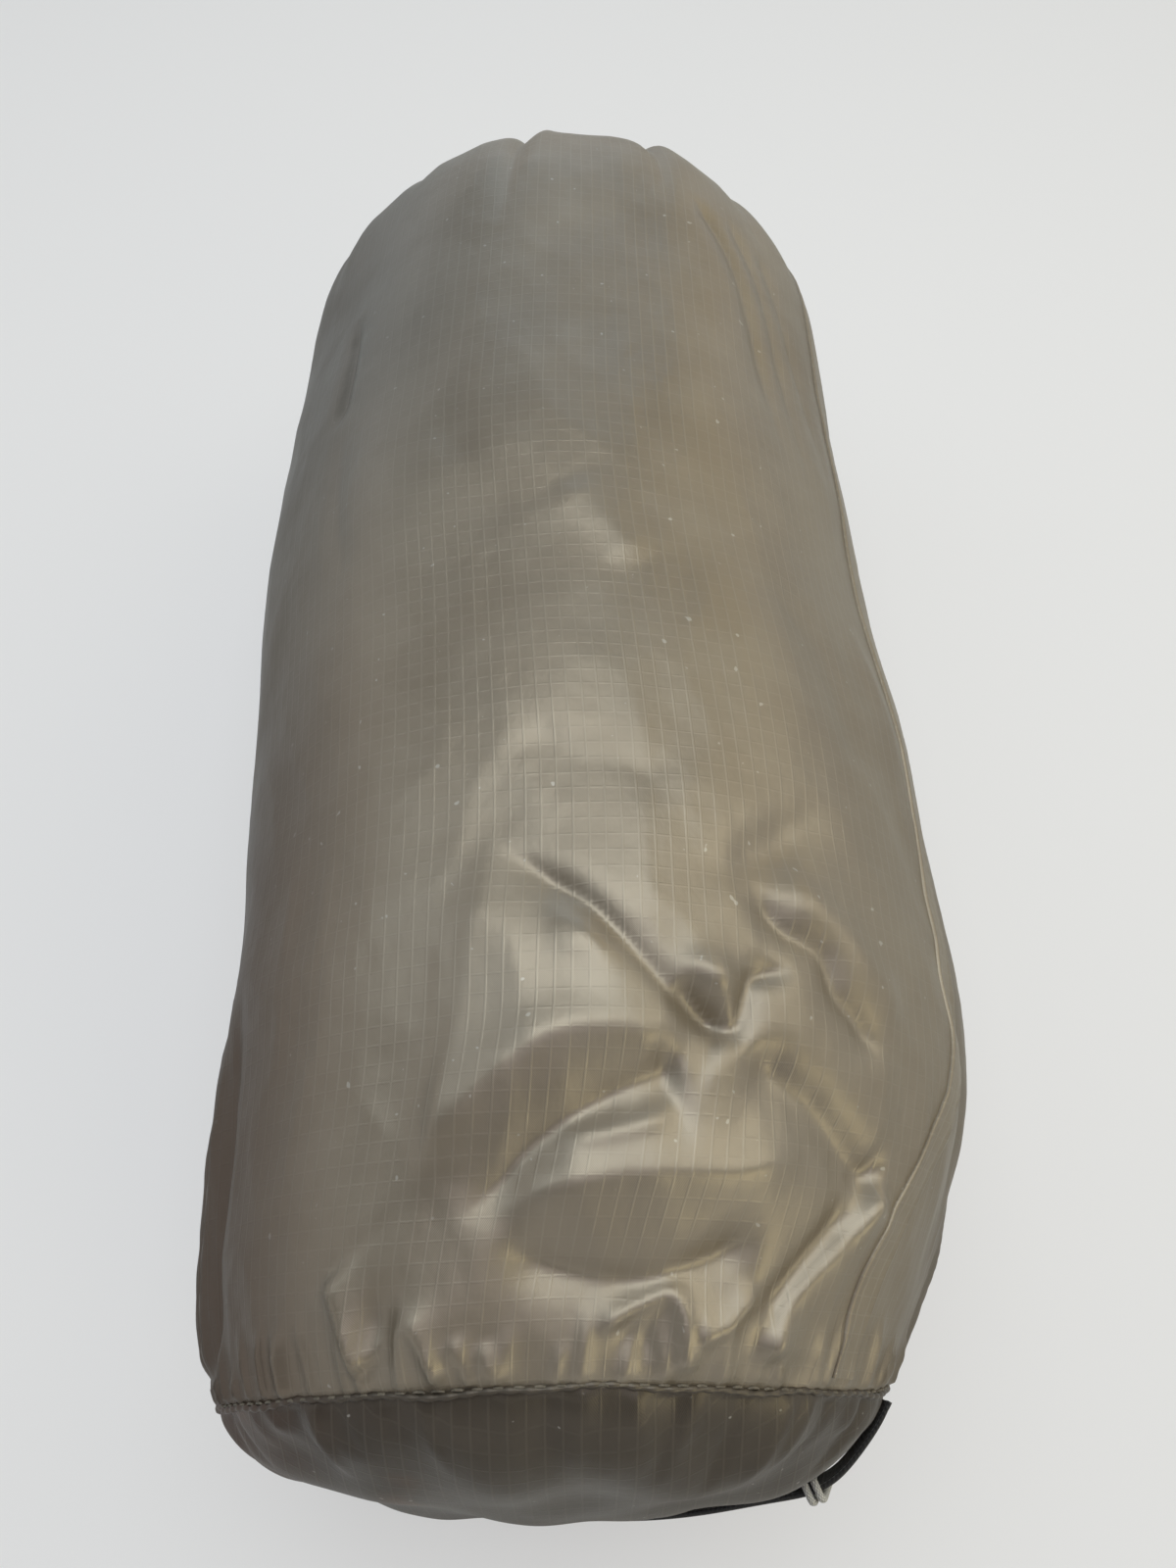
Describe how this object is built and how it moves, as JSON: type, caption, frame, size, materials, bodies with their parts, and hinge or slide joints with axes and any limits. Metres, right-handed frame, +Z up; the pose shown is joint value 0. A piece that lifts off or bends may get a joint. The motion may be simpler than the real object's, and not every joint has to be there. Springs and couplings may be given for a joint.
{
  "type": "one-person tent packed in its stuff sack",
  "caption": "One-person tent rolled round its folded poles and stakes, packed in a drawcord stuff sack with a domed base, a webbing handle and a sprung cord lock.",
  "frame": {"origin": "middle of the underside, on the surface that the packed tent lies on", "axes": "+Z up, +Y along the sack towards its gathered mouth, +X to the right seen from the base end"},
  "size_m": [0.1584, 0.3766, 0.146],
  "materials": {
    "sack_cloth": "coated ripstop nylon, satin",
    "base_cloth": "coated plain nylon, satin",
    "seam_cloth": "stitched nylon",
    "hem_cloth": "gathered nylon",
    "drawcord": "braided cord",
    "lock_plastic": "moulded",
    "button_plastic": "moulded",
    "spring_steel": "drawn wire",
    "webbing": "woven webbing",
    "white_cord": "braided cord",
    "inner_tent_cloth": "mesh and nylon, rolled",
    "fly_cloth": "coated nylon, rolled",
    "pole_bag_cloth": "plain nylon",
    "stake_bag_cloth": "plain nylon",
    "pole_aluminium": "anodised",
    "tip_aluminium": "machined",
    "hub_plastic": "moulded",
    "shock_cord": "braided sheath over rubber",
    "stake_aluminium": "anodised",
    "guy_line": "braided cord, in a hank",
    "tensioner_plastic": "moulded"
  },
  "bodies": {
    "sack": {"sack_body": "sack_cloth", "sack_base": "base_cloth", "base_seam": "seam_cloth", "side_seam": "seam_cloth", "mouth_hem": "hem_cloth", "drawcord": "drawcord", "drawcord_knot": "drawcord", "inner_tent_roll": "inner_tent_cloth", "rainfly_roll": "fly_cloth", "pole_bag": "pole_bag_cloth", "stake_bag": "stake_bag_cloth", "pole_hub": "hub_plastic", "pole_section_01": "pole_aluminium", "pole_section_02": "pole_aluminium", "pole_section_03": "pole_aluminium", "pole_section_04": "pole_aluminium", "pole_section_05": "pole_aluminium", "pole_section_06": "pole_aluminium", "pole_section_07": "pole_aluminium", "pole_section_08": "pole_aluminium", "pole_section_09": "pole_aluminium", "pole_section_10": "pole_aluminium", "pole_section_11": "pole_aluminium", "pole_section_12": "pole_aluminium", "pole_section_13": "pole_aluminium", "pole_section_14": "pole_aluminium", "pole_tip_left_leg": "tip_aluminium", "pole_tip_right_leg": "tip_aluminium", "pole_tip_spine": "tip_aluminium", "shock_cord_left_leg": "shock_cord", "shock_cord_right_leg": "shock_cord", "shock_cord_spine": "shock_cord", "stake_1": "stake_aluminium", "stake_2": "stake_aluminium", "stake_3": "stake_aluminium", "stake_4": "stake_aluminium", "stake_5": "stake_aluminium", "stake_6": "stake_aluminium", "stake_7": "stake_aluminium", "stake_8": "stake_aluminium", "guyline_hank": "guy_line", "line_tensioner_1": "tensioner_plastic", "line_tensioner_2": "tensioner_plastic", "repair_sleeve": "pole_aluminium"},
    "cord_lock": {"cord_lock_barrel": "lock_plastic", "cord_lock_spring": "spring_steel"},
    "lock_plunger": {"cord_lock_plunger": "button_plastic"},
    "handle": {"grab_handle": "webbing", "handle_cord_wrap": "white_cord"}
  },
  "joints": [
    {"name": "cord_lock_slide", "type": "slide", "parent": "sack", "child": "cord_lock", "axis": [0, 1, 0], "range_m": [0, 0.008]},
    {"name": "plunger_press", "type": "slide", "parent": "cord_lock", "child": "lock_plunger", "axis": [0, 0, -1], "range_m": [0, 0.004], "stiffness_N_per_m": 500, "springref_m": -0.002, "deforming": ["cord_lock_spring"]},
    {"name": "handle_lift", "type": "slide", "parent": "sack", "child": "handle", "axis": [0, -1, 0], "range_m": [0, 0.005]}
  ]
}
